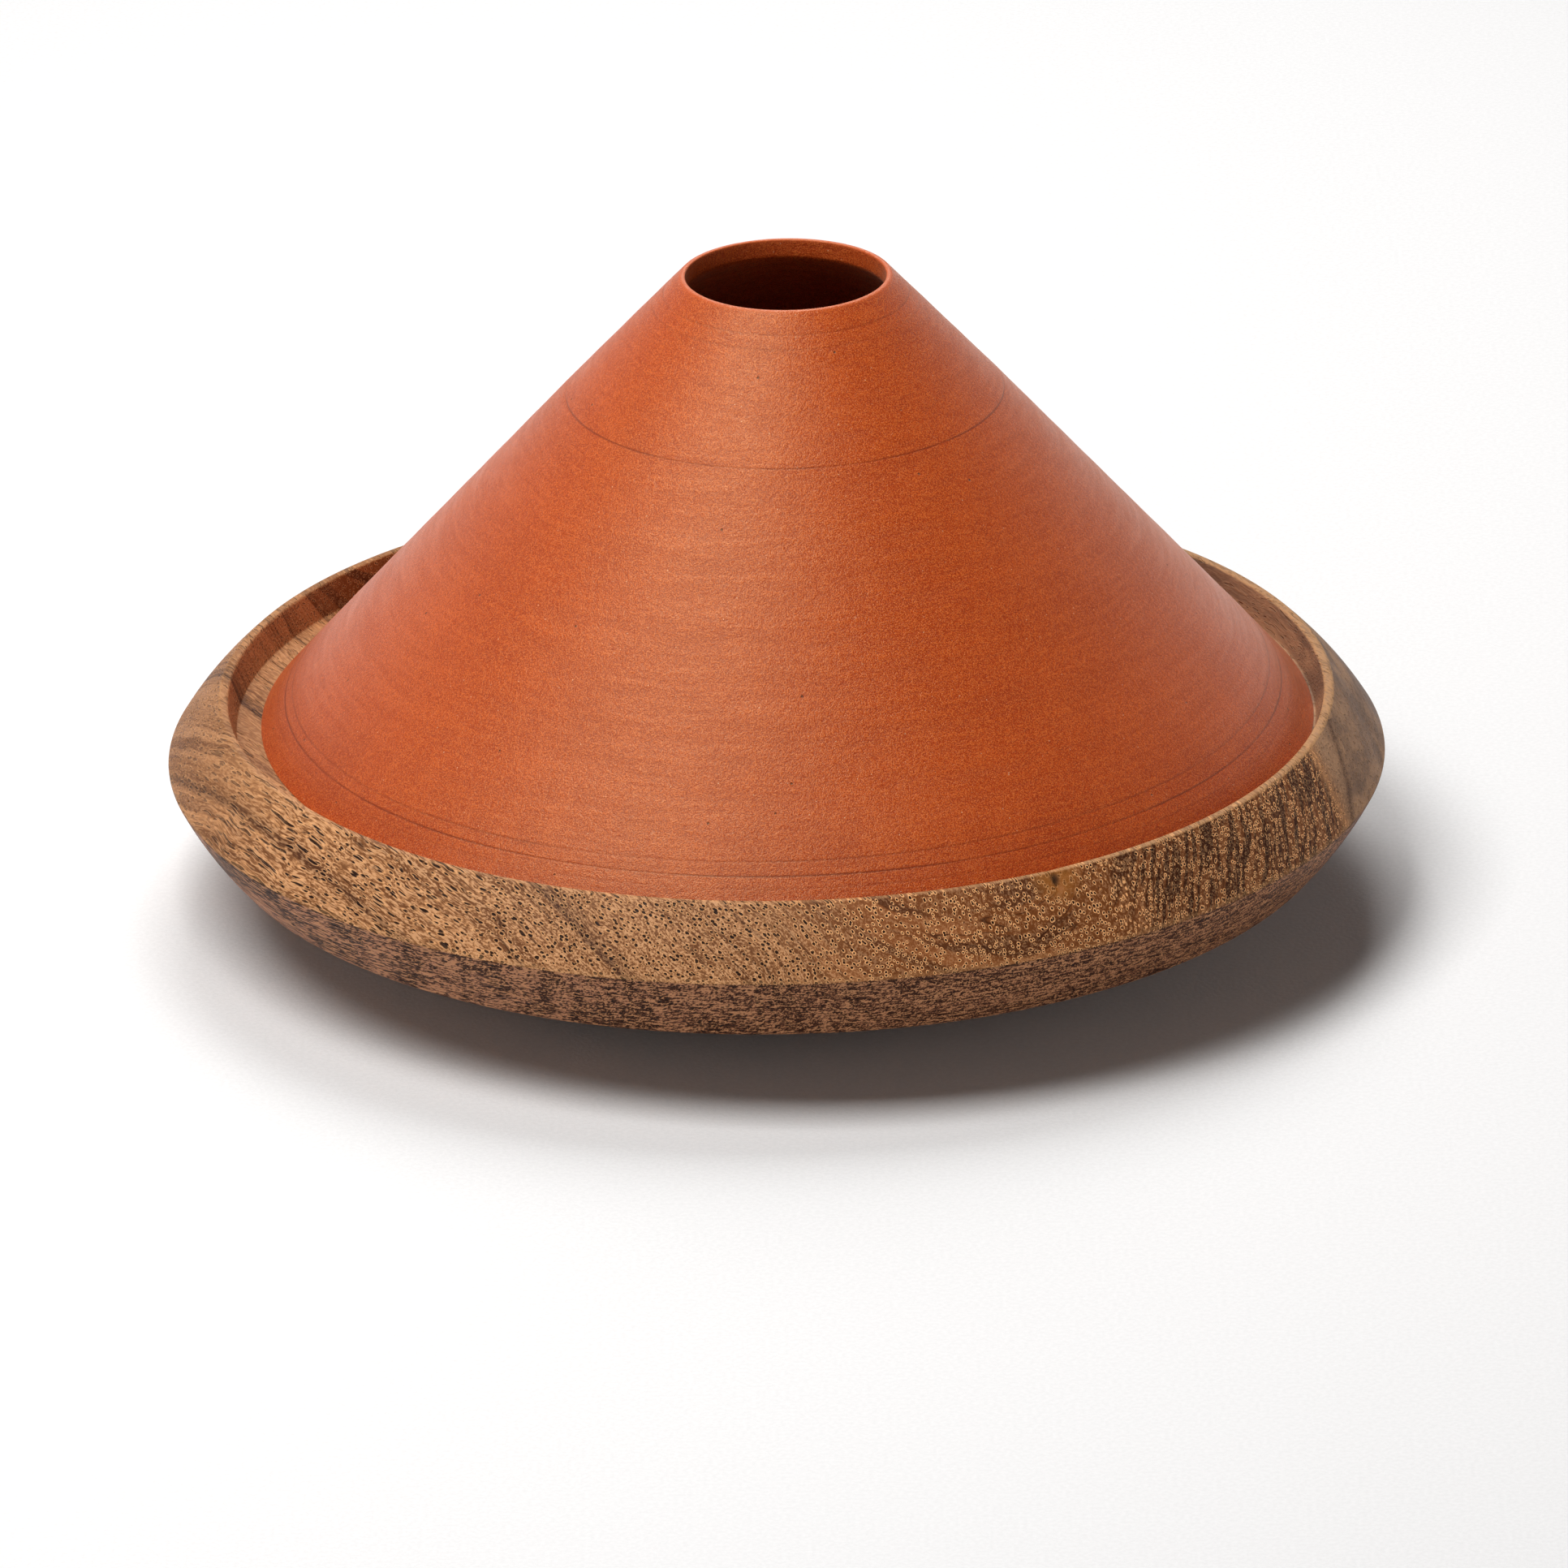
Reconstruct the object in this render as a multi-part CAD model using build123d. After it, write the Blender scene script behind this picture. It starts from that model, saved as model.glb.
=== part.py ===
from build123d import *
import math
import os

# A small tagine: a turned wooden base, a thrown clay dish that stands in the base's well,
# and a thrown clay cone lid that stands on the ledge round the well.
# Sizes are in millimetres. The origin is on the base's axis, on the surface that the foot
# stands on. +Z is up and the front of the object faces -Y.

# Wooden base, outside
RIDGE_R = 90.35          # the widest circle, where the two turned slopes meet
RIDGE_Z = 22.5
RIDGE_ROUND = 0.5
RIM_R = 82.6              # outer edge of the narrow land round the mouth
RIM_Z = 32.1
RIM_LAND = 1.2
RIM_ROUND = 0.5
UPPER_SLOPE_BULGE = 0.4   # how far each turned slope stands out from its chord
LOWER_SLOPE_BULGE = 0.4
BELLY_R = 82.8            # where the lower slope turns under
BELLY_Z = 11.4
BELLY_ROUND = 3.0
UNDERSIDE_BULGE = 0.8
FOOT_R = 48.0
FOOT_ROUND = 0.8
FOOT_RECESS_R = 41.0
FOOT_RECESS_RISE = 1.5

# Wooden base, inside
LEDGE_R = 80.2            # the ledge that the lid stands on
LEDGE_Z = 27.4
WELL_MOUTH_R = 73.0
WELL_FLOOR_R = 54.0
WELL_FLOOR_Z = 8.0
WELL_BULGE = 2.5
WELL_MOUTH_ROUND = 0.8

# Clay dish
DISH_FOOT_R = 50.0
DISH_RIM_R = 69.5
DISH_RIM_Z = 31.0         # stands proud of the ledge, so that fingertips can lift it
DISH_BULGE = 2.6
DISH_WALL = 4.0
DISH_FLOOR = 4.5
DISH_RIM_ROUND = 1.6
DISH_FOOT_ROUND = 1.2

# Clay cone lid
LID_BASE_R = 78.3
LID_TOP_R = 15.5
LID_TOP_Z = 97.3
LID_BULGE = 0.45
LID_WALL = 2.45           # thickness square to the cone
VENT_R = 14.8             # the open top has a short upright wall inside
LID_EDGE_ROUND = 0.25
LID_OFF_AXIS = (1.65, 0.5)   # the lid lies a little off centre in its play on the ledge


def bulged(start, end, bulge):
    """Arc in the r-z plane that stands out to the right of start-to-end by bulge."""
    along = Vector(end[0] - start[0], end[1] - start[1])
    outward = Vector(along.Y, -along.X).normalized()
    middle = Vector((start[0] + end[0]) / 2, (start[1] + end[1]) / 2) + outward * bulge
    return ThreePointArc(start, (middle.X, middle.Y), end)


def turned(outline, rounds):
    """Solid of revolution about Z from a closed r-z outline, with some corners rounded."""
    with BuildSketch() as section:
        with BuildLine():
            for piece in outline:
                add(piece)
        make_face()
        for corner, radius in rounds:
            fillet(section.vertices().sort_by_distance(Vector(*corner))[0], radius)
    upright = Plane.XZ * section.sketch
    return revolve(upright, axis=Axis.Z)


def wooden_base():
    """One turned blank: two outside slopes, a rim, the lid's ledge and the dish's well."""
    recess_top = (0, FOOT_RECESS_RISE)
    recess_edge = (FOOT_RECESS_R - FOOT_RECESS_RISE, FOOT_RECESS_RISE)
    foot_inner = (FOOT_RECESS_R, 0)
    foot_outer = (FOOT_R, 0)
    belly = (BELLY_R, BELLY_Z)
    ridge = (RIDGE_R, RIDGE_Z)
    rim_outer = (RIM_R, RIM_Z)
    rim_inner = (RIM_R - RIM_LAND, RIM_Z)
    ledge_outer = (LEDGE_R, LEDGE_Z)
    well_mouth = (WELL_MOUTH_R, LEDGE_Z)
    well_floor = (WELL_FLOOR_R, WELL_FLOOR_Z)
    outline = [
        Polyline(recess_top, recess_edge, foot_inner, foot_outer),
        bulged(foot_outer, belly, UNDERSIDE_BULGE),
        bulged(belly, ridge, LOWER_SLOPE_BULGE),
        bulged(ridge, rim_outer, UPPER_SLOPE_BULGE),
        Polyline(rim_outer, rim_inner, ledge_outer, well_mouth),
        bulged(well_mouth, well_floor, -WELL_BULGE),
        Polyline(well_floor, (0, WELL_FLOOR_Z), recess_top),
    ]
    rounds = [
        (foot_outer, FOOT_ROUND),
        (belly, BELLY_ROUND),
        (ridge, RIDGE_ROUND),
        (rim_outer, RIM_ROUND),
        (rim_inner, RIM_ROUND),
        (well_mouth, WELL_MOUTH_ROUND),
    ]
    return turned(outline, rounds)


def cooking_dish():
    """A shallow bowl on a flat foot, with a rounded rim."""
    foot = (DISH_FOOT_R, WELL_FLOOR_Z)
    rim_outer = (DISH_RIM_R, DISH_RIM_Z)
    rim_inner = (DISH_RIM_R - DISH_WALL, DISH_RIM_Z)
    floor_edge = (DISH_FOOT_R - DISH_WALL, WELL_FLOOR_Z + DISH_FLOOR)
    outline = [
        Line((0, WELL_FLOOR_Z), foot),
        bulged(foot, rim_outer, DISH_BULGE),
        Line(rim_outer, rim_inner),
        bulged(rim_inner, floor_edge, -DISH_BULGE),
        Polyline(floor_edge, (0, floor_edge[1]), (0, WELL_FLOOR_Z)),
    ]
    rounds = [
        (foot, DISH_FOOT_ROUND),
        (rim_outer, DISH_RIM_ROUND),
        (rim_inner, DISH_RIM_ROUND),
    ]
    return turned(outline, rounds)


def cone_lid():
    """A thin-walled cone that is open at both ends, with a short upright wall in its vent."""
    slope = math.atan2(LID_TOP_Z - LEDGE_Z, LID_BASE_R - LID_TOP_R)
    wall_level = LID_WALL / math.sin(slope)
    base_outer = (LID_BASE_R, LEDGE_Z)
    base_inner = (LID_BASE_R - wall_level, LEDGE_Z)
    top_outer = (LID_TOP_R, LID_TOP_Z)
    top_inner = (VENT_R, LID_TOP_Z)
    vent_drop = (VENT_R - (LID_TOP_R - wall_level)) * math.tan(slope)
    vent_bottom = (VENT_R, LID_TOP_Z - vent_drop)
    outline = [
        bulged(base_outer, top_outer, LID_BULGE),
        Line(top_outer, top_inner),
        Line(top_inner, vent_bottom),
        bulged(vent_bottom, base_inner, -LID_BULGE),
        Line(base_inner, base_outer),
    ]
    rounds = [
        (top_outer, LID_EDGE_ROUND),
        (top_inner, LID_EDGE_ROUND),
        (base_outer, LID_EDGE_ROUND),
        (base_inner, LID_EDGE_ROUND),
    ]
    return Pos(*LID_OFF_AXIS, 0) * turned(outline, rounds)


os.makedirs("parts", exist_ok=True)
export_step(wooden_base(), "parts/wooden_base.step")
export_step(cooking_dish(), "parts/cooking_dish.step")
export_step(cone_lid(), "parts/cone_lid.step")
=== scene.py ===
import math

import bmesh
import bpy
from mathutils import Matrix, Vector, noise


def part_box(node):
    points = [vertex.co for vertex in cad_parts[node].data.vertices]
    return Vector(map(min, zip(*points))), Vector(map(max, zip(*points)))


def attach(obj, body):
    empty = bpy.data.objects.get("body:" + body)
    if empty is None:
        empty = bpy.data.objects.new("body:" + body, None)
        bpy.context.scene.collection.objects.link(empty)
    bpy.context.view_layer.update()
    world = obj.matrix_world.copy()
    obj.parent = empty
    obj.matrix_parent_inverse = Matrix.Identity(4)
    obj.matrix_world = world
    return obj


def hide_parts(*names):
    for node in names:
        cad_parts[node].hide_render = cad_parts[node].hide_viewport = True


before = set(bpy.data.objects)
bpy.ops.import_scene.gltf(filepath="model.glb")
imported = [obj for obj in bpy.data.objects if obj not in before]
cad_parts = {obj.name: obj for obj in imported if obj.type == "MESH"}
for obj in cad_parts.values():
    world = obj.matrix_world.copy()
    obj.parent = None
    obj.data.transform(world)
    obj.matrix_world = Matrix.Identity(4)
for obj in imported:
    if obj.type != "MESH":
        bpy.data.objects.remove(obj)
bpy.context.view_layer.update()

# Lengths are in millimetres, as in the CAD model, until a mesh or a light is placed.
MM = 0.001

# About what the rounding of a sharp corner takes off the radius there
RIDGE_ROUNDED_OFF = 0.1
LID_ROUNDED_OFF = 0.3

# How many columns each turned mesh has
BASE_COLUMNS, DISH_COLUMNS, LID_COLUMNS = 480, 300, 420

# ---------------------------------------------------------------- sizes from the frame


def box_mm(node):
    """A CAD node's lowest and highest corners, in millimetres."""
    low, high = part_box(node)
    return low / MM, high / MM


base_high = box_mm("wooden_base")[1]
dish_low, dish_high = box_mm("cooking_dish")
lid_low, lid_high = box_mm("cone_lid")

# Wooden base
RIDGE_R = base_high.x
RIDGE_Z = 22.5
RIM_Z = base_high.z
RIM_R = 82.6
RIM_LAND = 1.2
BELLY_R = 82.8
BELLY_Z = 11.4
FOOT_R = 48.0
FOOT_RECESS_R = 41.0
FOOT_RECESS_RISE = 1.5
LEDGE_R = 80.2
LEDGE_Z = lid_low.z
WELL_MOUTH_R = 73.0
WELL_FLOOR_R = 54.0
WELL_FLOOR_Z = dish_low.z
SLOPE_BULGE = 0.4
UNDERSIDE_BULGE = 0.8
WELL_BULGE = 2.5

# Clay dish
DISH_RIM_Z = dish_high.z
DISH_RIM_R = 69.5
DISH_FOOT_R = 50.0
DISH_WALL = 4.0
DISH_FLOOR = 4.5
DISH_BULGE = 2.6

# Clay lid
LID_AXIS = Vector(((lid_low.x + lid_high.x) / 2, (lid_low.y + lid_high.y) / 2, 0))
LID_BASE_R = (lid_high.x - lid_low.x) / 2 + LID_ROUNDED_OFF
LID_TOP_Z = lid_high.z
LID_TOP_R = 15.5
LID_BULGE = 0.45
LID_WALL = 2.45
VENT_R = 14.8
LID_LEAN = 0.65          # how far the lid's top stands to +X of its foot

# Shallow relief that only these meshes have
BASE_OVAL = 0.12
BASE_MARKS = 0.025
DISH_RIDGES, DISH_RIDGE_PITCH, DISH_WAVER = 0.09, 4.3, 0.1
LID_RIDGES, LID_RIDGE_PITCH, LID_WAVER = 0.012, 6.1, 0.03

# The wood's figure. The fibres run level, and their front ends turn to the right of -Y by
# GRAIN_TURN. Across them, the growth layers lie flat at LAYER_MIDDLE and climb to a steady
# slope LAYER_REACH to each side. Each dark layer has its place, half its width and its
# strength.
GRAIN_TURN = math.radians(30)
LAYER_MIDDLE = -13.0
LAYER_REACH = 30.0
LAYER_SLOPE = 1.8
DARK_LAYERS = [(-33.4, 1.2, 1.0), (-31.0, 2.2, 0.45), (-70.3, 1.5, 0.8), (1.6, 0.4, 0.7)]
KNOT = Vector((39.3, -72.3, 31.6))
KNOT_EYE_RIGHT, KNOT_EYE_UP = 0.2, -0.9

# ---------------------------------------------------------------- turned meshes


def trimmed(point, towards, distance):
    """The point that lies a distance from point on the way to another."""
    step = Vector(towards) - Vector(point)
    return Vector(point) + step * min(0.45, distance / max(step.length, 1e-6))


def stretch(start, end, bulge, spacing):
    """Points from start to end, standing out to the right of their chord by bulge."""
    chord = end - start
    outward = Vector((chord.y, -chord.x)).normalized()
    count = max(1, math.ceil(chord.length / spacing))
    steps = [i / count for i in range(count + 1)]
    return [start + chord * t + outward * 4 * bulge * t * (1 - t) for t in steps]


def rounded_corner(before, corner, after, count=5):
    """Points on the curve that rounds a corner, without its two ends."""
    steps = [i / (count + 1) for i in range(1, count + 1)]
    return [before * (1 - t) ** 2 + corner * 2 * t * (1 - t) + after * t ** 2 for t in steps]


def outline(corners, closed):
    """An r-z outline from corners of (r, z, rounding, bulge of next edge, row spacing)."""
    count = len(corners)
    points = []
    for i in range(count if closed else count - 1):
        r0, z0, round0, bulge, spacing = corners[i]
        r1, z1, round1 = corners[(i + 1) % count][:3]
        start = trimmed((r0, z0), (r1, z1), round0)
        end = trimmed((r1, z1), (r0, z0), round1)
        points += stretch(start, end, bulge, spacing)
        following = corners[(i + 2) % count]
        if round1 and (closed or i + 2 < count):
            after = trimmed((r1, z1), following[:2], round1)
            points += rounded_corner(end, Vector((r1, z1)), after)
    tidy = [points[0]]
    for point in points[1:]:
        if (point - tidy[-1]).length > 0.01:
            tidy.append(point)
    if closed and (tidy[0] - tidy[-1]).length < 0.01:
        tidy.pop()
    return tidy


def outline_normals(points, closed):
    """The outward direction at each point of an outline that runs anticlockwise."""
    count = len(points)
    normals = []
    for i in range(count):
        before = points[(i - 1) % count] if closed or i else points[i]
        after = points[(i + 1) % count] if closed or i + 1 < count else points[i]
        along = (after - before).normalized()
        normals.append(Vector((along.y, -along.x)))
    return normals


def upright(height):
    """The axis of a piece that stands straight in the middle."""
    return Vector()


def turned(name, corners, angles, relief, axis=upright, closed=False):
    """A turned piece: an outline swept round an axis, with a shallow relief."""
    rows = outline(corners, closed)
    normals = outline_normals(rows, closed)
    verts = []
    for angle in angles:
        across = Vector((math.sin(angle), -math.cos(angle), 0))
        for point, normal in zip(rows, normals):
            radius, height = point
            lift = relief(angle, radius, height) if radius > 0.01 else 0
            place = across * (radius + normal.x * lift)
            place.z = height + normal.y * lift
            verts.append((place + axis(height)) * MM)
    row_count = len(rows)
    column_count = len(angles)
    faces = []
    for column in range(column_count):
        here = column * row_count
        there = (column + 1) % column_count * row_count
        for row in range(row_count if closed else row_count - 1):
            after = (row + 1) % row_count
            corners_of_face = [here + row, there + row, there + after, here + after]
            faces.append(corners_of_face)
    mesh = bpy.data.meshes.new(name)
    mesh.from_pydata(verts, [], faces)
    mesh.update()
    piece = bpy.data.objects.new(name, mesh)
    bpy.context.scene.collection.objects.link(piece)
    weld(piece)
    mesh.shade_smooth()
    return piece


def weld(piece):
    """Joins the vertices that meet on the axis, and points all faces outwards."""
    work = bmesh.new()
    work.from_mesh(piece.data)
    bmesh.ops.remove_doubles(work, verts=work.verts, dist=1e-7)
    bmesh.ops.dissolve_degenerate(work, edges=work.edges, dist=1e-8)
    bmesh.ops.recalc_face_normals(work, faces=work.faces)
    work.to_mesh(piece.data)
    work.free()


def even_angles(count):
    return [2 * math.pi * i / count for i in range(count)]


def wander(x, y, z, seed):
    """Smooth noise from about -1 to 1."""
    return noise.noise(Vector((x, y, z + 17.3 * seed)))


# ---------------------------------------------------------------- wooden base


def base_relief(angle, radius, height):
    """Turning marks, a slightly oval rim, and the chip in the rim at the knot."""
    oval = -BASE_OVAL * math.cos(2 * angle) * (radius / RIDGE_R) ** 2
    low = max(0.0, min(1.0, height / 6))
    waver = BASE_MARKS * wander(3 * math.sin(angle), 3 * math.cos(angle), height / 9, 1)
    away = Vector((radius * math.sin(angle), -radius * math.cos(angle), height)) - KNOT
    across, along = away.dot(KNOT_ACROSS), away.z
    notch = math.exp(
        -((across - KNOT_EYE_RIGHT) / 0.55) ** 2 - ((along - KNOT_EYE_UP) / 0.75) ** 2)
    ragged = math.exp(-(across / 1.6) ** 2 - (along / 0.5) ** 2)
    chip = 0.75 * notch + 0.12 * ragged
    return (oval + waver) * low - chip


KNOT_ANGLE = math.atan2(KNOT.x, -KNOT.y)
KNOT_ACROSS = Vector((math.cos(KNOT_ANGLE), math.sin(KNOT_ANGLE), 0))

base_corners = [
    (0, FOOT_RECESS_RISE, 0, 0, 4),
    (FOOT_RECESS_R - FOOT_RECESS_RISE, FOOT_RECESS_RISE, 0.5, 0, 1),
    (FOOT_RECESS_R, 0, 0.3, 0, 2),
    (FOOT_R, 0, 0.8, UNDERSIDE_BULGE, 1.5),
    (BELLY_R, BELLY_Z, 1.3, SLOPE_BULGE, 0.5),
    (RIDGE_R + RIDGE_ROUNDED_OFF, RIDGE_Z, 0.45, SLOPE_BULGE, 0.35),
    (RIM_R, RIM_Z, 0.4, 0, 0.3),
    (RIM_R - RIM_LAND, RIM_Z, 0.4, 0, 0.6),
    (LEDGE_R, LEDGE_Z, 0.3, 0, 0.8),
    (WELL_MOUTH_R, LEDGE_Z, 0.8, -WELL_BULGE, 1.2),
    (WELL_FLOOR_R, WELL_FLOOR_Z, 1.0, 0, 3),
    (0, WELL_FLOOR_Z, 0, 0, 4),
]
near_knot = [KNOT_ANGLE + (i - 20) * 0.0025 for i in range(41)]
plain_angles = [a for a in even_angles(BASE_COLUMNS) if not near_knot[0] < a < near_knot[-1]]
base_angles = sorted(plain_angles + near_knot)
wooden_base = turned("turned_base", base_corners, base_angles, base_relief)
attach(wooden_base, "base")
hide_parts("wooden_base")

# ---------------------------------------------------------------- cooking dish


def dish_relief(angle, radius, height):
    """Throwing ridges inside and out, away from the flat foot."""
    fade = max(0.0, min(1.0, (height - WELL_FLOOR_Z - 1) / 3))
    ridges = DISH_RIDGES * math.sin(2 * math.pi * height / DISH_RIDGE_PITCH + angle)
    waver = DISH_WAVER * wander(2 * math.sin(angle), 2 * math.cos(angle), height / 12, 2)
    return fade * (ridges + waver)


dish_corners = [
    (0, WELL_FLOOR_Z, 0, 0, 4),
    (DISH_FOOT_R, WELL_FLOOR_Z, 1.2, DISH_BULGE, 0.7),
    (DISH_RIM_R, DISH_RIM_Z, 1.6, 0, 0.8),
    (DISH_RIM_R - DISH_WALL, DISH_RIM_Z, 1.6, -DISH_BULGE, 0.7),
    (DISH_FOOT_R - DISH_WALL, WELL_FLOOR_Z + DISH_FLOOR, 3.0, 0, 3),
    (0, WELL_FLOOR_Z + DISH_FLOOR, 0, 0, 4),
]
cooking_dish = turned("clay_dish", dish_corners, even_angles(DISH_COLUMNS), dish_relief)
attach(cooking_dish, "dish")
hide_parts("cooking_dish")

# ---------------------------------------------------------------- cone lid

# Each ring that a tool cut in the turning lid: height, depth, half width, rise to +X, and how
# dark it is drawn. All but the last are a little out of level.
RINGS = [
    (32.35, 0.06, 0.12, 0.7, 0.95),
    (34.05, 0.04, 0.13, 1.1, 0.5),
    (30.9, 0.02, 0.12, 0.5, 0.2),
    (79.1, 0.05, 0.11, 0.2, 0.9),
    (94.5, 0.03, 0.13, -0.1, 0.4),
    (92.8, 0.025, 0.13, 0.0, 0.3),
]


def lid_slope_radius(height):
    share = (height - LEDGE_Z) / (LID_TOP_Z - LEDGE_Z)
    return LID_BASE_R + (LID_TOP_R - LID_BASE_R) * share


def lid_relief(angle, radius, height):
    """Throwing ridges on the cone, tool rings on its outside, and a slightly wavy edge."""
    turn = (math.sin(angle), math.cos(angle))
    ridges = LID_RIDGES * math.sin(2 * math.pi * height / LID_RIDGE_PITCH + angle)
    waver = LID_WAVER * wander(1.5 * turn[0], 1.5 * turn[1], height / 10, 8)
    outside = radius > lid_slope_radius(height) - 1
    groove = 0
    if outside:
        for level, depth, width, rise, _ in RINGS:
            share = 0.75 + 0.5 * wander(2.2 * turn[0], 2.2 * turn[1], 0, level)
            middle = level + rise * turn[0]
            groove += depth * share * math.exp(-((height - middle) / width) ** 2)
    settle = max(0.0, min(1.0, (height - LEDGE_Z) / 1.5))
    return settle * (ridges + waver) - groove


def lid_corners():
    """The lid's closed outline, with rows crowded round each tool ring."""
    slope = math.atan2(LID_TOP_Z - LEDGE_Z, LID_BASE_R - LID_TOP_R)
    wall_level = LID_WALL / math.sin(slope)
    vent_drop = (VENT_R - (LID_TOP_R - wall_level)) * math.tan(slope)
    fine_spans = ((30.0, 35.5), (78.5, 79.7), (92.4, 95.0))
    edges = [LEDGE_Z, *(height for span in fine_spans for height in span), LID_TOP_Z]
    corners = []
    for low, high in zip(edges, edges[1:]):
        fine = (low, high) in fine_spans
        share = (low - LEDGE_Z) / (LID_TOP_Z - LEDGE_Z)
        swell = 4 * LID_BULGE * share * (1 - share)
        radius = lid_slope_radius(low) + swell * math.sin(slope)
        height = low + swell * math.cos(slope)
        corners.append((radius, height, 0, 0, 0.09 if fine else 0.9))
    corners[0] = (LID_BASE_R, LEDGE_Z, 0.35, 0, 0.9)
    corners += [
        (LID_TOP_R, LID_TOP_Z, 0.3, 0, 0.3),
        (VENT_R, LID_TOP_Z, 0.3, 0, 0.4),
        (VENT_R, LID_TOP_Z - vent_drop, 0.5, LID_BULGE, 1.6),
        (LID_BASE_R - wall_level, LEDGE_Z, 0.35, 0, 0.6),
    ]
    return corners


def lid_axis(height):
    """The lid's axis. It stands a little off the middle, and leans a hair to +X."""
    return LID_AXIS + Vector((LID_LEAN * (height - LEDGE_Z) / (LID_TOP_Z - LEDGE_Z), 0, 0))


lid_angles = even_angles(LID_COLUMNS)
cone_lid = turned("clay_lid", lid_corners(), lid_angles, lid_relief, lid_axis, True)
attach(cone_lid, "lid")
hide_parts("cone_lid")

# ---------------------------------------------------------------- material graph


class Graph:
    """A short way to write one material's nodes."""

    def __init__(self, name):
        self.material = bpy.data.materials.new(name)
        self.material.use_nodes = True
        self.tree = self.material.node_tree
        self.shader = self.tree.nodes["Principled BSDF"]

    def node(self, kind, inputs=(), **settings):
        made = self.tree.nodes.new("ShaderNode" + kind)
        for key, value in settings.items():
            setattr(made, key, value)
        for key, value in dict(inputs).items():
            self.feed(made.inputs[key], value)
        return made

    def feed(self, socket, value):
        if isinstance(value, bpy.types.NodeSocket):
            self.tree.links.new(value, socket)
        else:
            socket.default_value = value

    def math(self, operation, first, second=0.0):
        return self.node("Math", {0: first, 1: second}, operation=operation).outputs[0]

    def vector(self, operation, first, second=(0, 0, 0)):
        made = self.node("VectorMath", {0: first, 1: second}, operation=operation)
        name = "Value" if operation in ("LENGTH", "DOT_PRODUCT", "DISTANCE") else "Vector"
        return made.outputs[name]

    def position(self, origin=(0, 0, 0)):
        """The place on the piece in millimetres, measured from an origin."""
        place = self.node("TexCoord").outputs["Object"]
        return self.vector("SUBTRACT", self.vector("MULTIPLY", place, (1000,) * 3), origin)

    def split(self, vector):
        return self.node("SeparateXYZ", {0: vector}).outputs

    def join(self, x, y, z):
        return self.node("CombineXYZ", {0: x, 1: y, 2: z}).outputs[0]

    def noise(self, vector, scale, detail=2.0, roughness=0.5, distortion=0.0):
        inputs = {"Vector": vector, "Scale": scale, "Detail": detail}
        inputs.update({"Roughness": roughness, "Distortion": distortion})
        return self.node("TexNoise", inputs).outputs["Fac"]

    def cells(self, vector, scale):
        return self.node("TexVoronoi", {"Vector": vector, "Scale": scale}).outputs

    def remap(self, value, low, high, to_low=0.0, to_high=1.0, smooth=True):
        inputs = {0: value, 1: low, 2: high, 3: to_low, 4: to_high}
        kind = "SMOOTHSTEP" if smooth else "LINEAR"
        return self.node("MapRange", inputs, interpolation_type=kind).outputs[0]

    def peak(self, value, centre, width):
        """1 where value is at centre, falling to 0 within about two widths."""
        offset = self.math("DIVIDE", self.math("SUBTRACT", value, centre), width)
        square = self.math("MULTIPLY", offset, offset)
        return self.math("EXPONENT", self.math("MULTIPLY", square, -1.0))

    def mix(self, factor, first, second):
        made = self.node("Mix", data_type="RGBA")
        for index, value in ((0, factor), (6, first), (7, second)):
            if isinstance(value, tuple):
                value = value if len(value) == 4 else value + (1.0,)
            self.feed(made.inputs[index], value)
        return made.outputs[2]

    def times(self, *values):
        result = values[0]
        for value in values[1:]:
            result = self.math("MULTIPLY", result, value)
        return result

    def plus(self, *values):
        result = values[0]
        for value in values[1:]:
            result = self.math("ADD", result, value)
        return result

    def bump(self, height, distance_mm, normal=None):
        inputs = {"Height": height, "Distance": distance_mm * MM, "Strength": 1.0}
        if normal is not None:
            inputs["Normal"] = normal
        return self.node("Bump", inputs).outputs[0]

    def finish(self, color, roughness, normal, **constants):
        self.feed(self.shader.inputs["Base Color"], color)
        self.feed(self.shader.inputs["Roughness"], roughness)
        self.feed(self.shader.inputs["Normal"], normal)
        for name, value in constants.items():
            self.shader.inputs[name.replace("_", " ")].default_value = value
        return self.material


# ---------------------------------------------------------------- clay

CLAY_CORE = 25.0         # nearer the axis, the streaks would fan out like rays


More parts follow.
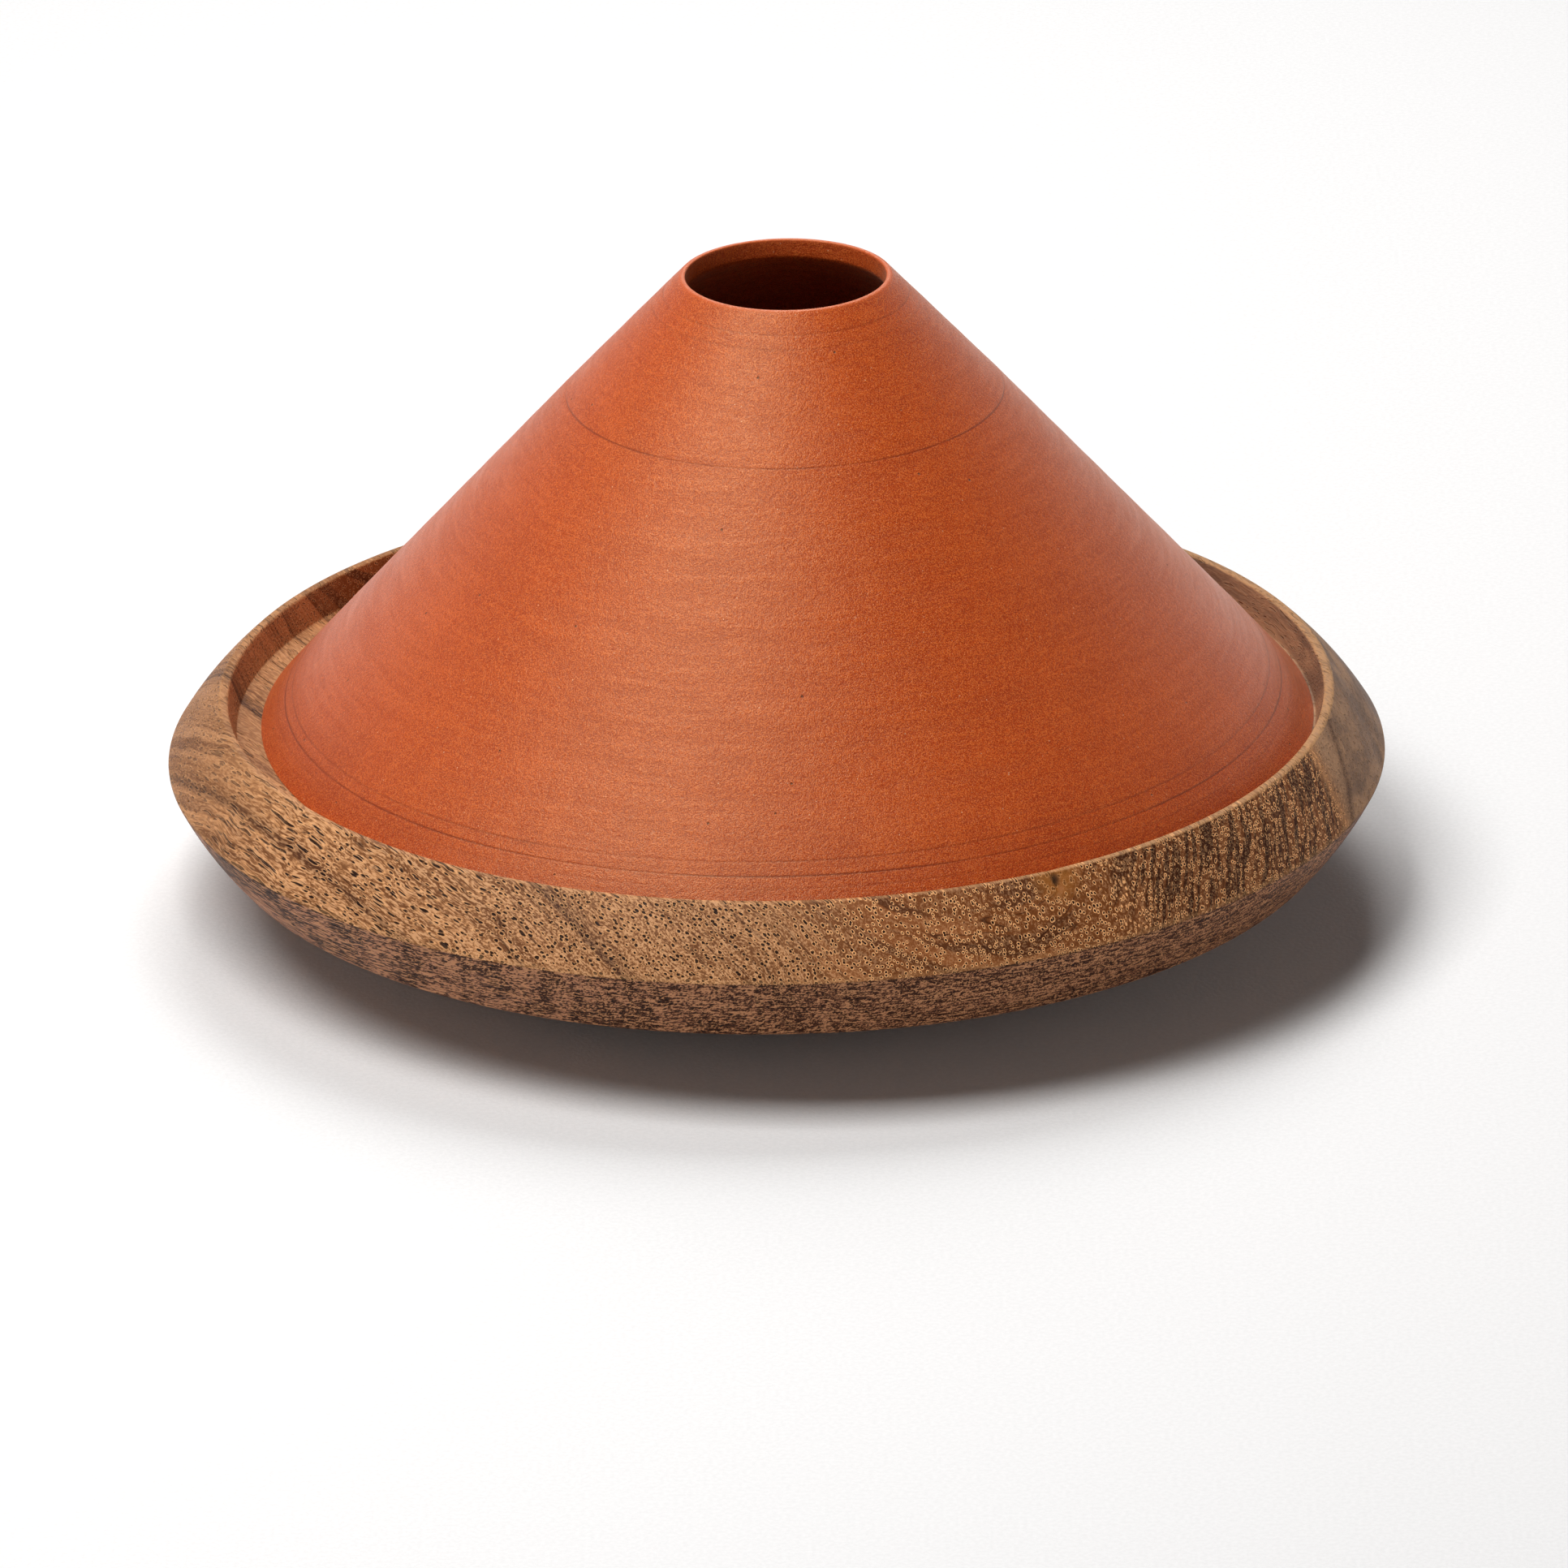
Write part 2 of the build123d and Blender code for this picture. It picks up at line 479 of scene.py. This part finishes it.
def clay(name, axis, rings, top, light, body, dark, floor_turns=0.0):
    """Unglazed thrown earthenware: sandy grain, throwing streaks, smears, specks and pits.

    The streaks run round the axis. With floor_turns they also follow each other across a floor.
    """
    g = Graph(name)
    place = g.position(axis)
    x, y, z = g.split(place)
    radius = g.vector("LENGTH", g.join(x, y, 0.0))
    reach = g.math("MAXIMUM", radius, CLAY_CORE)
    turn_x = g.math("DIVIDE", x, reach)
    turn_y = g.math("DIVIDE", y, reach)
    path = g.plus(z, g.times(radius, floor_turns))

    def round_noise(turns, per_mm, detail):
        along = g.join(g.times(turn_x, turns), g.times(turn_y, turns), g.times(path, per_mm))
        return g.noise(along, 1.0, detail, 0.6)

    hair = round_noise(5.0, 1.5, 4.0)
    streak = round_noise(2.6, 0.5, 5.0)
    band = round_noise(0.9, 0.10, 3.0)
    touch = round_noise(13.0, 0.05, 3.0)
    smear = g.noise(g.join(x, y, g.times(z, 0.55)), 0.085, 4.0, 0.55, 0.8)
    sand = g.noise(place, 5.2, 1.0, 0.8)
    grit = g.noise(place, 1.4, 3.0, 0.7)
    speck = g.cells(place, 1.0)
    pit = g.cells(g.vector("ADD", place, (40.0, 13.0, 7.0)), 0.33)

    color = g.mix(g.remap(band, 0.36, 0.66, 0.0, 0.5), body, dark)
    color = g.mix(g.remap(streak, 0.51, 0.68, 0.0, 0.55), color, light)
    color = g.mix(g.remap(streak, 0.48, 0.28, 0.0, 0.4), color, dark)
    color = g.mix(g.remap(hair, 0.51, 0.66, 0.0, 0.6), color, light)
    color = g.mix(g.remap(hair, 0.49, 0.34, 0.0, 0.55), color, dark)
    color = g.mix(g.remap(smear, 0.52, 0.76, 0.0, 0.45), color, light)
    color = g.mix(g.remap(smear, 0.46, 0.26, 0.0, 0.35), color, dark)
    low_down = g.remap(z, LEDGE_Z + 26, LEDGE_Z + 12)
    color = g.mix(g.times(g.remap(touch, 0.52, 0.70), low_down, 0.5), color, light)
    color = g.mix(g.times(g.remap(touch, 0.48, 0.32), low_down, 0.5), color, dark)
    grains = g.plus(g.times(sand, 0.85), g.times(grit, 0.15))
    color = g.mix(g.remap(grains, 0.5, 0.59, 0.0, 0.6), color, (0.76, 0.18, 0.035))
    color = g.mix(g.remap(grains, 0.5, 0.41, 0.0, 0.6), color, (0.30, 0.026, 0.003))
    # pale grog specks, partly a painted glint of mica
    pale_speck_and_glint = g.remap(speck["Distance"], 0.12, 0.05)
    pale_speck_and_glint = g.times(pale_speck_and_glint, g.remap(g.split(speck["Color"])[0], 0.86, 0.9))
    color = g.mix(g.times(pale_speck_and_glint, 0.75), color, (0.85, 0.5, 0.3))
    hollow = g.remap(pit["Distance"], 0.075, 0.04)
    hollow = g.times(hollow, g.remap(g.split(pit["Color"])[1], 0.78, 0.82))
    color = g.mix(g.times(hollow, 0.75), color, (0.06, 0.012, 0.004))
    # the clay is drawn paler within half a millimetre of the top edge
    paler_top = g.remap(z, top - 0.5, top - 0.1)
    color = g.mix(g.times(paler_top, 0.7), color, light)
    broken = g.remap(round_noise(2.6, 0.3, 4.0), 0.36, 0.56, 0.4, 1.0)
    for level, _, width, rise, strength in rings:
        line = g.peak(g.math("SUBTRACT", z, g.times(turn_x, rise)), level, width)
        color = g.mix(g.times(line, broken, strength), color, (0.24, 0.022, 0.002))

    height = g.plus(
        g.times(sand, 0.8), g.times(grit, 1.0), g.times(hair, 0.3), g.times(hollow, -2.0))
    normal = g.bump(height, 0.10)
    normal = g.bump(g.plus(streak, g.times(smear, 0.6)), 0.07, normal)
    roughness = g.remap(g.plus(streak, hair), 0.7, 1.3, 0.43, 0.33)
    return g.finish(
        color, roughness, normal,
        Specular_IOR_Level=0.68, Specular_Tint=(1.0, 0.88, 0.55, 1.0), Sheen_Weight=0.16,
        Sheen_Roughness=0.3, Sheen_Tint=(1.0, 0.78, 0.58, 1.0),
    )


LID_LIGHT = (0.60, 0.092, 0.014)
LID_BODY = (0.51, 0.061, 0.0060)
LID_DARK = (0.42, 0.046, 0.0045)
DISH_LIGHT = (0.50, 0.13, 0.05)
DISH_BODY = (0.40, 0.075, 0.02)
DISH_DARK = (0.27, 0.045, 0.012)
cone_lid.data.materials.append(
    clay("lid_clay", LID_AXIS, RINGS, LID_TOP_Z, LID_LIGHT, LID_BODY, LID_DARK))
cooking_dish.data.materials.append(
    clay("dish_clay", Vector(), [], DISH_RIM_Z, DISH_LIGHT, DISH_BODY, DISH_DARK,
         floor_turns=0.8))

# ---------------------------------------------------------------- wood


def wood():
    """Open-pored brown hardwood that is cut across its fibres at the front.

    The colour is laid out in the plane across the fibres. The growth layers lean over on the
    left, lie flat below the knot and climb on the right, where pale cells ring most pores.
    """
    g = Graph("turned_wood")
    place = g.position()
    level = g.split(place)[2]
    drift = g.node("TexNoise", {"Vector": place, "Scale": 0.05, "Detail": 3.0})
    push = g.vector("SUBTRACT", drift.outputs["Color"], (0.5, 0.5, 0.5))
    bent = g.vector("ADD", place, g.vector("MULTIPLY", push, (4.0, 4.0, 4.0)))
    x, y, z = g.split(bent)
    cos_turn, sin_turn = math.cos(GRAIN_TURN), math.sin(GRAIN_TURN)
    across = g.plus(g.times(x, cos_turn), g.times(y, sin_turn))
    along = g.plus(g.times(x, -sin_turn), g.times(y, cos_turn))

    # a growth layer's height: flat at LAYER_MIDDLE, and steeper to both sides
    offset = g.math("ABSOLUTE", g.math("SUBTRACT", across, LAYER_MIDDLE))
    away = g.math("DIVIDE", offset, LAYER_REACH)
    curved = g.math("POWER", g.math("MINIMUM", away, 1.0), 2.6)
    straight = g.math("MAXIMUM", g.math("SUBTRACT", away, 1.0), 0.0)
    climb = g.plus(g.times(curved, LAYER_SLOPE * LAYER_REACH / 2.6),
                   g.times(straight, LAYER_SLOPE * LAYER_REACH))
    layers = g.math("SUBTRACT", z, climb)

    # zones
    ringed = g.times(g.remap(across, -50.0, -28.0), g.remap(across, 58.0, 53.0))
    crowded = g.times(g.remap(across, 3.0, 13.0), g.remap(across, 58.0, 53.0))
    greyish = g.remap(across, 53.0, 58.0)
    flank = g.remap(along, -12.0, 22.0)
    facing = g.split(g.node("TexCoord").outputs["Normal"])[2]
    # faces that look down; below the ridge they are given painted shade
    facing_down = g.remap(facing, 0.1, -0.1)

    def drawn(per_layer, per_mm, per_along, detail, roughness=0.55):
        """Noise drawn out along the growth layers and the fibres."""
        rest = g.times(g.plus(z, g.times(across, 0.8)), per_mm)
        spot = g.join(g.times(layers, per_layer), rest, g.times(along, per_along))
        return g.noise(spot, 1.0, detail, roughness)

    def grains(per_mm, per_along, detail):
        """Noise of cells cut across the fibres."""
        spot = g.join(g.times(across, per_mm), g.times(along, per_along), g.times(z, per_mm))
        return g.noise(spot, 1.0, detail, 0.8)

    broad = drawn(0.10, 0.02, 0.01, 4.0)
    band = drawn(0.42, 0.05, 0.015, 4.0)
    vein = drawn(0.24, 0.02, 0.01, 2.0)
    rows = drawn(0.70, 0.12, 0.03, 2.0, 0.6)
    dash = drawn(1.5, 1.5, 0.25, 2.0, 0.7)
    speckle = grains(3.4, 0.5, 1.0)
    scar = g.noise(g.join(g.times(across, 0.7), g.times(along, 0.3), g.times(level, 3.4)), 1.0, 2.0)
    mottle = g.noise(bent, 0.07, 3.0, 0.6)
    fleck = g.plus(g.times(speckle, 0.6), g.times(dash, 0.4))

    def tubes(per_mm, shift):
        """How far the nearest pore of a bundle of tubes along the fibres is, and two lots."""
        spot = g.join(g.times(g.plus(across, shift), per_mm), g.times(z, per_mm), 0.0)
        cell = g.node("TexVoronoi", {"Vector": spot, "Scale": 1.0}, voronoi_dimensions="2D").outputs
        lots = g.split(cell["Color"])
        return g.math("DIVIDE", cell["Distance"], per_mm), lots[0], lots[1]

    def switch(factor, first, second):
        return g.node("Mix", {0: factor, 2: first, 3: second}).outputs[0]

    reach, luck, lot = (switch(crowded, *pair) for pair in zip(tubes(1.5, 0.0), tubes(1.45, 41.0)))
    gaps = g.noise(g.join(g.times(lot, 60.0), g.times(along, 0.3), 0.0), 1.0, 1.0)
    open_here = g.remap(gaps, g.remap(crowded, 0.0, 1.0, 0.42, 0.34), 0.48)
    widest = g.remap(ringed, 0.0, 1.0, 0.19, 0.14)
    rim = g.math("SUBTRACT", reach, g.remap(luck, 0.0, 1.0, 0.07, widest, False))
    rim = g.plus(rim, g.times(g.math("SUBTRACT", speckle, 0.5), 0.15))
    pore = g.times(g.remap(rim, 0.045, -0.035), open_here)
    ring = g.times(g.remap(rim, 0.0, 0.05), g.remap(rim, 0.16, 0.10), open_here)

    cream = (0.73, 0.385, 0.185)
    golden = (0.48, 0.218, 0.088)
    tan = (0.33, 0.142, 0.055)
    brown = (0.15, 0.050, 0.015)
    amber = (0.35, 0.118, 0.036)
    russet = (0.19, 0.055, 0.012)
    deep = (0.028, 0.005, 0.001)
    black = (0.012, 0.003, 0.001)

    # ground colour
    color = g.mix(g.remap(broad, 0.38, 0.60), golden, tan)
    color = g.mix(g.remap(mottle, 0.46, 0.74, 0.0, 0.38), color, brown)
    color = g.mix(g.remap(band, 0.51, 0.62, 0.0, 0.75), color, brown)
    right = g.mix(g.remap(broad, 0.40, 0.58), amber, russet)
    right = g.mix(g.remap(band, 0.50, 0.60, 0.0, 0.85), right, (0.075, 0.020, 0.005))
    color = g.mix(ringed, color, right)
    dark_rows = g.mix(g.remap(rows, 0.43, 0.56), deep, (0.18, 0.056, 0.016))
    color = g.mix(crowded, color, dark_rows)
    spread = g.join(g.times(across, 0.16), g.times(along, 0.035), g.times(z, 0.24))
    cloud = g.noise(spread, 1.0, 4.0, 0.6)
    cloudy = g.mix(g.remap(cloud, 0.36, 0.64), (0.37, 0.205, 0.112), (0.17, 0.098, 0.063))
    color = g.mix(greyish, color, cloudy)

    # flecks and lines
    smooth = g.math("MAXIMUM", g.times(greyish, 0.88), g.times(flank, 0.65))
    grainy = g.math("SUBTRACT", 1.0, smooth)
    rough = g.times(grainy, g.math("SUBTRACT", 1.0, g.times(ringed, 0.65)))
    color = g.mix(g.times(g.remap(fleck, 0.50, 0.57, 0.0, 0.7), rough), color, cream)
    color = g.mix(g.times(g.remap(fleck, 0.50, 0.42, 0.0, 0.8), rough), color, brown)
    lines = g.times(g.peak(vein, 0.5, 0.007), g.remap(mottle, 0.40, 0.50), grainy)
    color = g.mix(g.times(lines, 0.75), color, deep)
    for where, width, strength in DARK_LAYERS:
        line = g.times(g.peak(layers, where, width), g.remap(speckle, 0.40, 0.55, 1.0, 0.6))
        color = g.mix(g.times(line, strength), color, (0.055, 0.018, 0.008))
    color = g.mix(g.times(g.peak(across, 54.6, 0.9), 0.6), color, golden)

    # pores and the pale cells round them
    strength = g.plus(g.times(ringed, 0.55), 0.4)
    thick = g.math("SUBTRACT", 1.0, g.times(crowded, g.remap(rows, 0.40, 0.48, 0.85, 0.0)))
    color = g.mix(g.times(ring, strength, grainy, thick), color, (1.0, 0.49, 0.20))
    color = g.mix(g.times(pore, 0.95, grainy), color, black)

    # the knot: a small dark eye in an orange stain
    eye = g.vector("DISTANCE", place, tuple(KNOT + Vector((KNOT_EYE_RIGHT, 0, KNOT_EYE_UP))))
    color = g.mix(g.times(g.remap(eye, 5.0, 1.5), 0.7), color, (0.36, 0.125, 0.022))
    color = g.mix(g.times(g.remap(eye, 1.5, 0.6), 0.85), color, (0.03, 0.016, 0.01))

    # below the ridge the cut is rougher, with streaks and fine pale cells; its dark colour is
    # painted shade
    slant = g.times(layers, g.remap(across, -50.0, -20.0, 0.22, 0.06))
    rise = g.times(level, g.remap(across, -50.0, -20.0, 0.12, 1.5))
    streak = g.noise(g.join(slant, rise, g.times(along, 0.04)), 1.0, 4.0, 0.7)
    underside_grain_and_shade = g.mix(g.remap(across, -72.0, -40.0), (0.36, 0.158, 0.086), (0.23, 0.092, 0.046))
    underside_grain_and_shade = g.mix(g.remap(streak, 0.47, 0.56, 0.0, 0.95), underside_grain_and_shade, (0.052, 0.015, 0.005))
    crumbs = g.plus(g.times(speckle, 0.5), g.times(scar, 0.5))
    light_crumbs = g.times(g.remap(crumbs, 0.50, 0.56, 0.0, 0.85), grainy)
    underside_grain_and_shade = g.mix(light_crumbs, underside_grain_and_shade, (0.50, 0.235, 0.11))
    dark_crumbs = g.times(g.remap(crumbs, 0.50, 0.44, 0.0, 0.9), grainy)
    underside_grain_and_shade = g.mix(dark_crumbs, underside_grain_and_shade, (0.028, 0.006, 0.001))
    underside_grain_and_shade = g.mix(g.times(pore, 0.8, grainy), underside_grain_and_shade, black)
    # painted shade, with the rougher grain, on the faces that look down
    color = g.mix(facing_down, color, underside_grain_and_shade)

    # painted highlights along the lip and the ridge, strongest on the right of the lip, which faces
    # the light
    lip_highlight = g.remap(level, RIM_Z - 0.25, RIM_Z - 0.05, 0.0, g.remap(across, -60.0, 20.0, 0.15, 0.75))
    ridge = g.times(g.peak(level, RIDGE_Z + 0.25, 0.3), 0.3)
    edge = g.times(g.math("MAXIMUM", lip_highlight, ridge), g.remap(fleck, 0.42, 0.5, 0.5, 1.0))
    color = g.mix(edge, color, (0.52, 0.27, 0.115))

    height = g.plus(g.times(pore, -1.4), g.times(fleck, 1.0), g.times(ring, 0.15))
    normal = g.bump(height, 0.16)
    normal = g.bump(g.plus(band, g.times(scar, g.remap(facing_down, 0.0, 1.0, 0.0, 2.5))), 0.06, normal)
    roughness = g.remap(g.plus(fleck, broad), 0.7, 1.3, 0.44, 0.60)
    return g.finish(color, roughness, normal, Specular_IOR_Level=0.12)


wooden_base.data.materials.append(wood())

# ---------------------------------------------------------------- stage, light and camera


def floor():
    """A large pale sheet that the base stands on."""
    mesh = bpy.data.meshes.new("floor")
    half = 3.0
    corners = [(-half, -half, 0), (half, -half, 0), (half, half, 0), (-half, half, 0)]
    mesh.from_pydata(corners, [], [(0, 1, 2, 3)])
    sheet = bpy.data.objects.new("floor", mesh)
    bpy.context.scene.collection.objects.link(sheet)
    g = Graph("floor")
    place = g.position()
    weave = g.noise(place, 1.5, 3.0, 0.6)
    color = g.mix(g.remap(weave, 0.3, 0.7), (0.88, 0.87, 0.865), (0.93, 0.92, 0.915))
    material = g.finish(color, 0.9, g.bump(weave, 0.05), Specular_IOR_Level=0.1)
    mesh.materials.append(material)


def soft_light(name, direction, distance, width, depth, power):
    """A flat soft light that faces the origin, with its width turned as near X as it can be."""
    light = bpy.data.lights.new(name, "AREA")
    light.shape = "RECTANGLE"
    light.size = width
    light.size_y = depth
    light.energy = power
    back = Vector(direction).normalized()
    side = (Vector((1, 0, 0)) - back * back.x).normalized()
    turn = Matrix((side, back.cross(side), back)).transposed()
    lamp = bpy.data.objects.new(name, light)
    lamp.matrix_world = Matrix.Translation(back * distance) @ turn.to_4x4()
    bpy.context.scene.collection.objects.link(lamp)


def surroundings(overhead, level):
    """A studio that is dark overhead and pale towards the horizon."""
    world = bpy.data.worlds.new("surroundings")
    world.use_nodes = True
    tree = world.node_tree
    place = tree.nodes.new("ShaderNodeTexCoord")
    split = tree.nodes.new("ShaderNodeSeparateXYZ")
    fade = tree.nodes.new("ShaderNodeMapRange")
    for index, value in ((1, 0.0), (2, 0.6), (3, level), (4, overhead)):
        fade.inputs[index].default_value = value
    background = tree.nodes["Background"]
    background.inputs["Color"].default_value = (1.0, 1.0, 1.0, 1.0)
    tree.links.new(place.outputs["Generated"], split.inputs[0])
    tree.links.new(split.outputs[2], fade.inputs[0])
    tree.links.new(fade.outputs[0], background.inputs["Strength"])
    bpy.context.scene.world = world


def camera():
    """A long lens that looks down on the object from the front."""
    pitch, roll = 0.3885, -0.0138
    distance = 2.25
    off_centre = Vector((0.0011, -0.0054, 0))
    turn = Matrix.Rotation(math.pi / 2 - pitch, 3, "X") @ Matrix.Rotation(roll, 3, "Z")
    aim = Vector((0, 0, RIDGE_Z * MM)) + turn @ off_centre
    data = bpy.data.cameras.new("camera")
    data.sensor_width = 36
    data.lens = 347.5
    data.clip_end = 20
    view = bpy.data.objects.new("camera", data)
    view.matrix_world = Matrix.Translation(aim + turn @ Vector((0, 0, distance))) @ turn.to_4x4()
    bpy.context.scene.collection.objects.link(view)
    bpy.context.scene.camera = view


floor()
soft_light("key", (-0.333, -0.26, 0.906), 0.9, 0.5, 0.42, 6.2)
soft_light("back", (0.0, 0.56, 0.83), 0.9, 0.4, 0.62, 4.6)
surroundings(0.0, 0.8)
camera()
bpy.context.scene.view_settings.view_transform = "Standard"
